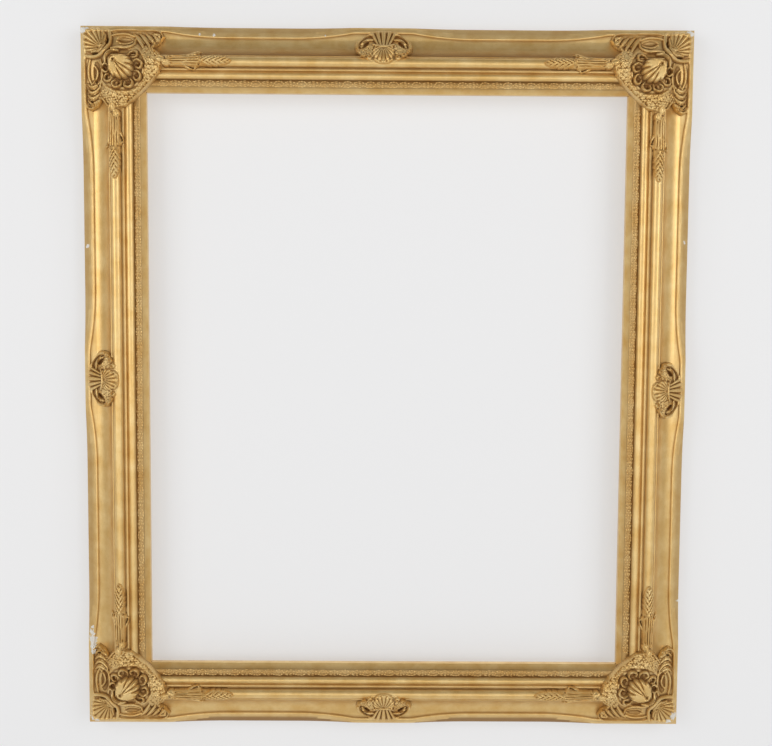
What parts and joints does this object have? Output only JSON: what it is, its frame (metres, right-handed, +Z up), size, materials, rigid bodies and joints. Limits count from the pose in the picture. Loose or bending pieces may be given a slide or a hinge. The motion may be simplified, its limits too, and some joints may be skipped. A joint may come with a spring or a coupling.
{
  "type": "picture frame",
  "caption": "Ornate gilded swept picture frame with cast corner and centre ornaments, a rebate at the back, turn buttons and strap hangers.",
  "frame": {"origin": "middle of the back plane of the rails, where the frame hangs against the wall", "axes": "+Z up, +X to the viewer's right, -Y out of the front towards the viewer"},
  "size_m": [0.632, 0.0486, 0.734],
  "materials": {
    "gilt_moulding": "gold leaf effect on gessoed wood, satin",
    "gilt_leaf_strip": "gold leaf effect on pressed ornament, satin",
    "gilt_ornament": "gold leaf effect on cast composition, satin with brown toning",
    "plated_steel": "zinc plated",
    "screw_steel": "zinc plated",
    "nail_steel": "plain",
    "bumper_rubber": "matt"
  },
  "bodies": {
    "root": {"top_rail": "gilt_moulding", "top_leaf_strip": "gilt_leaf_strip", "right_rail": "gilt_moulding", "right_leaf_strip": "gilt_leaf_strip", "bottom_rail": "gilt_moulding", "bottom_leaf_strip": "gilt_leaf_strip", "left_rail": "gilt_moulding", "left_leaf_strip": "gilt_leaf_strip", "mitre_nails": "nail_steel", "top_left_ornament": "gilt_ornament", "top_left_level_spray": "gilt_ornament", "top_left_upright_spray": "gilt_ornament", "top_right_ornament": "gilt_ornament", "top_right_level_spray": "gilt_ornament", "top_right_upright_spray": "gilt_ornament", "bottom_right_ornament": "gilt_ornament", "bottom_right_level_spray": "gilt_ornament", "bottom_right_upright_spray": "gilt_ornament", "bottom_left_ornament": "gilt_ornament", "bottom_left_level_spray": "gilt_ornament", "bottom_left_upright_spray": "gilt_ornament", "top_centre_ornament": "gilt_ornament", "right_centre_ornament": "gilt_ornament", "bottom_centre_ornament": "gilt_ornament", "left_centre_ornament": "gilt_ornament", "turn_button_screws": "screw_steel", "left_hanger_strap": "plated_steel", "right_hanger_strap": "plated_steel", "hanger_screws": "screw_steel", "wall_bumpers": "bumper_rubber"},
    "top_turn_button": {"top_turn_button": "plated_steel"},
    "bottom_turn_button": {"bottom_turn_button": "plated_steel"},
    "left_upper_turn_button": {"left_upper_turn_button": "plated_steel"},
    "left_lower_turn_button": {"left_lower_turn_button": "plated_steel"},
    "right_upper_turn_button": {"right_upper_turn_button": "plated_steel"},
    "right_lower_turn_button": {"right_lower_turn_button": "plated_steel"},
    "left_hanger_ring": {"left_hanger_ring": "plated_steel"},
    "right_hanger_ring": {"right_hanger_ring": "plated_steel"}
  },
  "joints": [
    {"name": "top_button_turn", "type": "hinge", "parent": "root", "child": "top_turn_button", "pos_m": [0, 0.00105, 0.3155], "axis": [0, 1, 0], "continuous": true},
    {"name": "bottom_button_turn", "type": "hinge", "parent": "root", "child": "bottom_turn_button", "pos_m": [0, 0.00105, -0.3155], "axis": [0, 1, 0], "continuous": true},
    {"name": "left_upper_button_turn", "type": "hinge", "parent": "root", "child": "left_upper_turn_button", "pos_m": [-0.2645, 0.00105, 0.19], "axis": [0, 1, 0], "continuous": true},
    {"name": "left_lower_button_turn", "type": "hinge", "parent": "root", "child": "left_lower_turn_button", "pos_m": [-0.2645, 0.00105, -0.19], "axis": [0, 1, 0], "continuous": true},
    {"name": "right_upper_button_turn", "type": "hinge", "parent": "root", "child": "right_upper_turn_button", "pos_m": [0.2645, 0.00105, 0.19], "axis": [0, 1, 0], "continuous": true},
    {"name": "right_lower_button_turn", "type": "hinge", "parent": "root", "child": "right_lower_turn_button", "pos_m": [0.2645, 0.00105, -0.19], "axis": [0, 1, 0], "continuous": true},
    {"name": "left_ring_swing", "type": "hinge", "parent": "root", "child": "left_hanger_ring", "pos_m": [-0.286, 0.0028, 0.15], "axis": [1, 0, 0], "range_deg": [0, 178]},
    {"name": "right_ring_swing", "type": "hinge", "parent": "root", "child": "right_hanger_ring", "pos_m": [0.286, 0.0028, 0.15], "axis": [1, 0, 0], "range_deg": [0, 178]}
  ]
}
